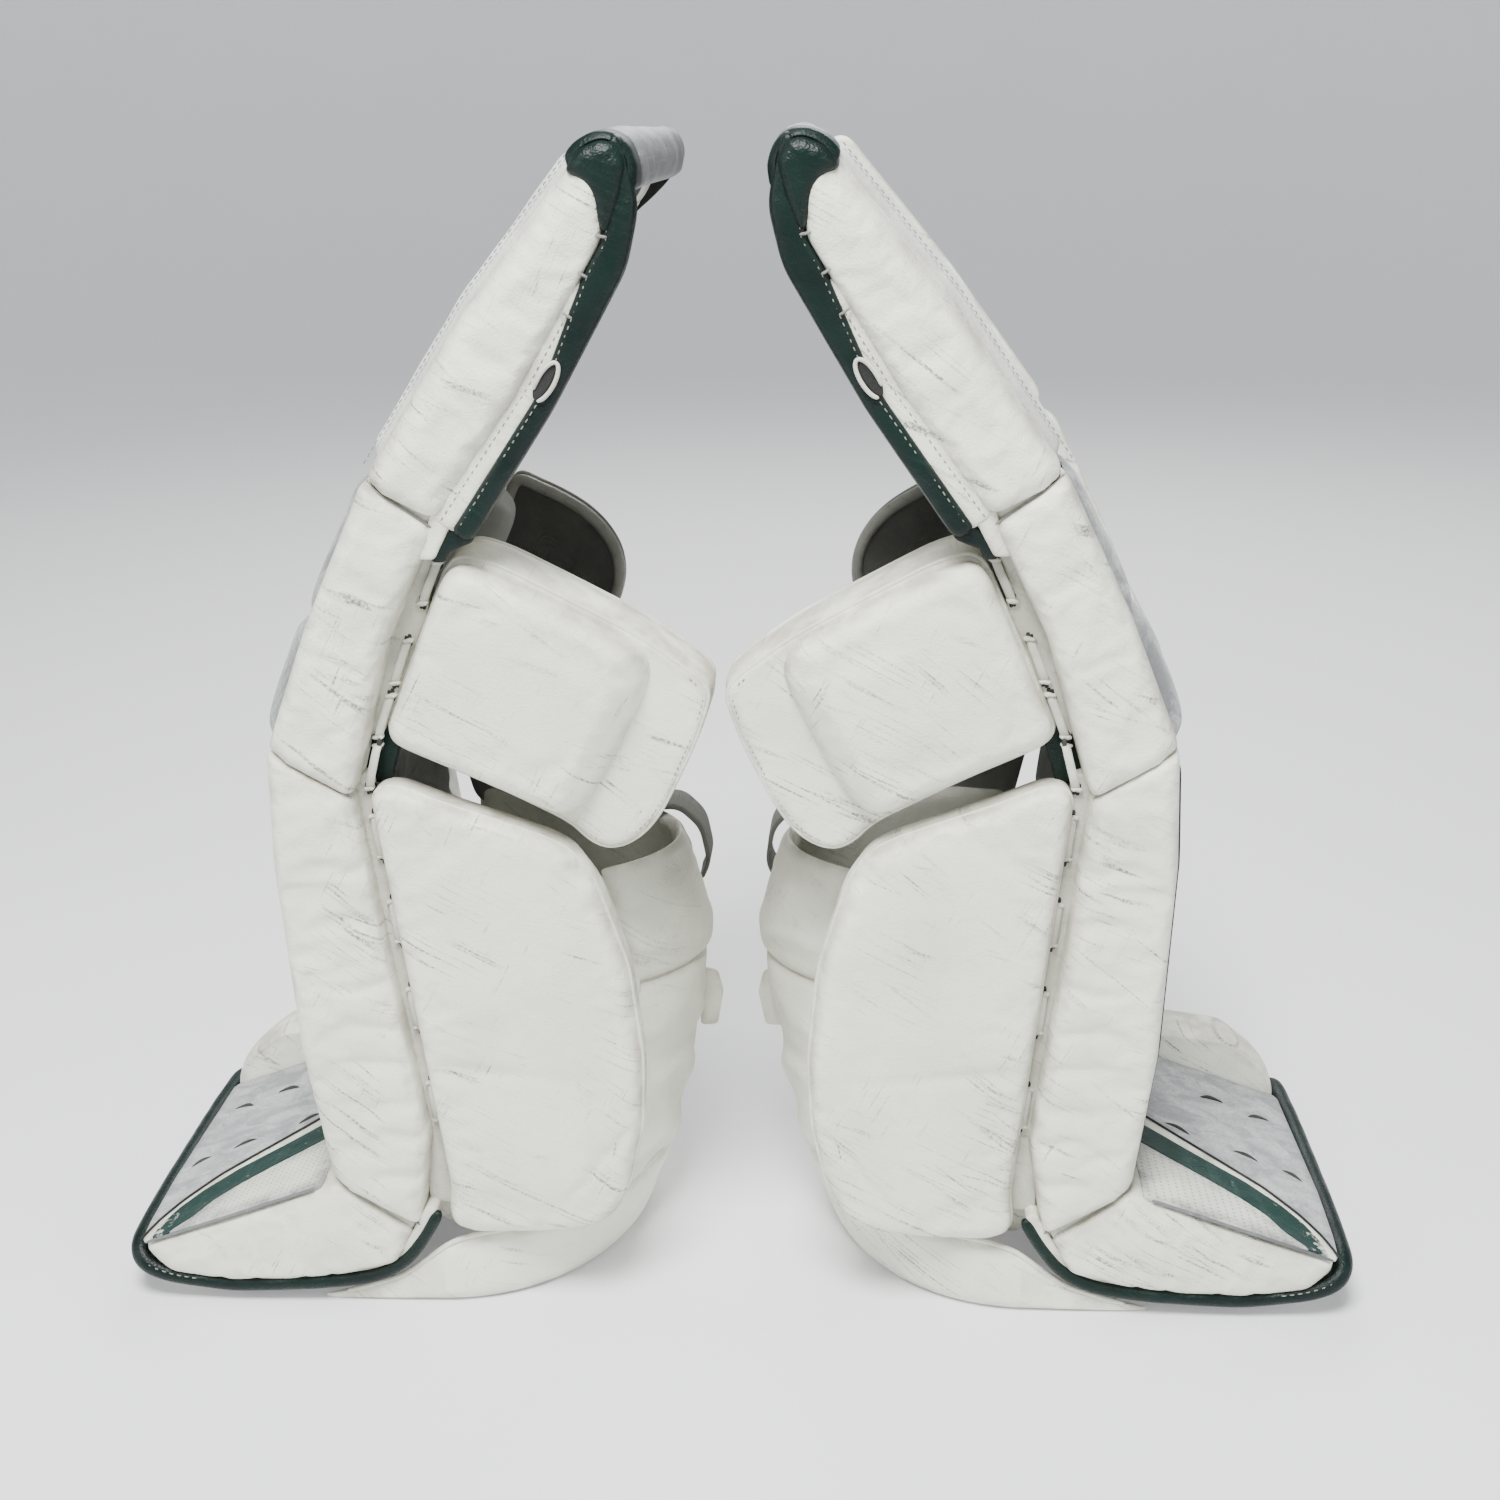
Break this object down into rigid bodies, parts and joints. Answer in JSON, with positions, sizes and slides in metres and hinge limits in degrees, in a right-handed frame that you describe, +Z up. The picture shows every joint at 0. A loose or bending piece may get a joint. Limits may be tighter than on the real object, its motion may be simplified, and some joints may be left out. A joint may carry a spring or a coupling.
{
  "type": "goalie leg pads",
  "caption": "Pair of ice-hockey goalie leg pads with flexing thigh rise and boot, knee block, laced calf wing, calf wrap and green edge binding.",
  "frame": {"origin": "floor level, midway between the two pads, on the vertical plane that mirrors one into the other", "axes": "+X from the left pad to the right pad, -Y the side that carries the knee blocks and calf wings, +Z up"},
  "size_m": [0.85, 0.28, 0.778],
  "materials": {
    "white_leather": "fine-grained white synthetic leather, satin, scuffed",
    "marbled_leather": "grey and white marbled, slightly fuzzy",
    "grey_leather": "worn grey leather",
    "green_leather": "smooth dark green binding",
    "core_foam": "layered closed-cell foam",
    "grey_lining": "soft woven lining",
    "lace_leather": "flat white lace",
    "strap_webbing": "olive-grey webbing"
  },
  "bodies": {
    "left_leg": {"left_leg_core": "core_foam", "left_shin_side_roll": "white_leather", "left_knee_side_roll": "white_leather", "left_leg_face": "marbled_leather", "left_knee_rolls": "marbled_leather", "left_leg_outer_roll": "white_leather", "left_leg_liner": "grey_lining", "left_edge_binding": "green_leather", "left_wing_laces": "lace_leather", "left_knee_cradle": "grey_lining", "left_calf_wrap": "white_leather", "left_heel_piece": "white_leather", "left_strap_loop": "strap_webbing"},
    "left_thigh": {"left_thigh_core": "core_foam", "left_thigh_face": "white_leather", "left_thigh_side_roll": "white_leather", "left_thigh_outer_roll": "white_leather", "left_thigh_back_pad": "grey_lining", "left_thigh_binding": "green_leather"},
    "left_boot": {"left_boot_core": "core_foam", "left_boot_side_panel": "white_leather", "left_boot_face": "marbled_leather", "left_boot_outer_roll": "white_leather", "left_boot_binding": "green_leather"},
    "left_knee_block": {"left_knee_block_base": "white_leather", "left_knee_block_pad": "white_leather"},
    "left_calf_wing": {"left_calf_wing": "white_leather"},
    "left_calf_flap": {"left_calf_flap": "white_leather"},
    "left_pull_tab": {"left_pull_tab": "white_leather"},
    "left_outer_knee_wing": {"left_outer_knee_wing": "grey_leather"},
    "right_leg": {"right_leg_core": "core_foam", "right_shin_side_roll": "white_leather", "right_knee_side_roll": "white_leather", "right_leg_face": "marbled_leather", "right_knee_rolls": "marbled_leather", "right_leg_outer_roll": "white_leather", "right_leg_liner": "grey_lining", "right_edge_binding": "green_leather", "right_wing_laces": "lace_leather", "right_knee_cradle": "grey_lining", "right_calf_wrap": "white_leather", "right_heel_piece": "white_leather", "right_strap_loop": "strap_webbing"},
    "right_thigh": {"right_thigh_core": "core_foam", "right_thigh_face": "white_leather", "right_thigh_side_roll": "white_leather", "right_thigh_outer_roll": "white_leather", "right_thigh_back_pad": "grey_lining", "right_thigh_binding": "green_leather"},
    "right_boot": {"right_boot_core": "core_foam", "right_boot_side_panel": "white_leather", "right_boot_face": "marbled_leather", "right_boot_outer_roll": "white_leather", "right_boot_binding": "green_leather"},
    "right_knee_block": {"right_knee_block_base": "white_leather", "right_knee_block_pad": "white_leather"},
    "right_calf_wing": {"right_calf_wing": "white_leather"},
    "right_calf_flap": {"right_calf_flap": "white_leather"},
    "right_pull_tab": {"right_pull_tab": "white_leather"},
    "right_outer_knee_wing": {"right_outer_knee_wing": "grey_leather"}
  },
  "joints": [
    {"name": "right_pad_slide", "type": "slide", "parent": "left_leg", "child": "right_leg", "axis": [1, 0, 0], "range_m": [0, 0.3]},
    {"name": "left_thigh_flex", "type": "hinge", "parent": "left_leg", "child": "left_thigh", "pos_m": [-0.211, 0, 0.578], "axis": [0, -1, 0], "range_deg": [-4, 20], "stiffness_Nm_per_rad": 40},
    {"name": "left_boot_flex", "type": "hinge", "parent": "left_leg", "child": "left_boot", "pos_m": [-0.27, 0, 0.096], "axis": [0, 1, 0], "range_deg": [-3, 15], "stiffness_Nm_per_rad": 40},
    {"name": "left_knee_block_fold", "type": "hinge", "parent": "left_leg", "child": "left_knee_block", "pos_m": [-0.214, -0.118, 0.411], "axis": [-0.4004, 0, -0.9163], "range_deg": [0, 30], "stiffness_Nm_per_rad": 3},
    {"name": "left_calf_wing_fold", "type": "hinge", "parent": "left_leg", "child": "left_calf_wing", "pos_m": [-0.189, -0.139, 0.09], "axis": [0.1135, 0, -0.9935], "range_deg": [0, 60], "stiffness_Nm_per_rad": 1.5},
    {"name": "left_calf_flap_fold", "type": "hinge", "parent": "left_leg", "child": "left_calf_flap", "pos_m": [-0.02, 0.015, 0.18], "axis": [0, 0, 1], "range_deg": [0, 35], "stiffness_Nm_per_rad": 0.8},
    {"name": "left_pull_tab_flex", "type": "hinge", "parent": "left_leg", "child": "left_pull_tab", "pos_m": [-0.031, 0.0355, 0.154], "axis": [0, 0, 1], "range_deg": [-30, 30], "stiffness_Nm_per_rad": 0.01},
    {"name": "left_outer_wing_flex", "type": "hinge", "parent": "left_leg", "child": "left_outer_knee_wing", "pos_m": [-0.205, 0.132, 0.432], "axis": [0.3908, 0, 0.9205], "range_deg": [0, 25], "stiffness_Nm_per_rad": 3},
    {"name": "right_thigh_flex", "type": "hinge", "parent": "right_leg", "child": "right_thigh", "pos_m": [0.211, 0, 0.578], "axis": [0, 1, 0], "range_deg": [-4, 20], "stiffness_Nm_per_rad": 40},
    {"name": "right_boot_flex", "type": "hinge", "parent": "right_leg", "child": "right_boot", "pos_m": [0.27, 0, 0.096], "axis": [0, -1, 0], "range_deg": [-3, 15], "stiffness_Nm_per_rad": 40},
    {"name": "right_knee_block_fold", "type": "hinge", "parent": "right_leg", "child": "right_knee_block", "pos_m": [0.214, -0.118, 0.411], "axis": [-0.4004, 0, 0.9163], "range_deg": [0, 30], "stiffness_Nm_per_rad": 3},
    {"name": "right_calf_wing_fold", "type": "hinge", "parent": "right_leg", "child": "right_calf_wing", "pos_m": [0.189, -0.139, 0.09], "axis": [0.1135, 0, 0.9935], "range_deg": [0, 60], "stiffness_Nm_per_rad": 1.5},
    {"name": "right_calf_flap_fold", "type": "hinge", "parent": "right_leg", "child": "right_calf_flap", "pos_m": [0.02, 0.015, 0.18], "axis": [0, 0, -1], "range_deg": [0, 35], "stiffness_Nm_per_rad": 0.8},
    {"name": "right_pull_tab_flex", "type": "hinge", "parent": "right_leg", "child": "right_pull_tab", "pos_m": [0.031, 0.0355, 0.154], "axis": [0, 0, -1], "range_deg": [-30, 30], "stiffness_Nm_per_rad": 0.01},
    {"name": "right_outer_wing_flex", "type": "hinge", "parent": "right_leg", "child": "right_outer_knee_wing", "pos_m": [0.205, 0.132, 0.432], "axis": [0.3908, 0, -0.9205], "range_deg": [0, 25], "stiffness_Nm_per_rad": 3}
  ]
}
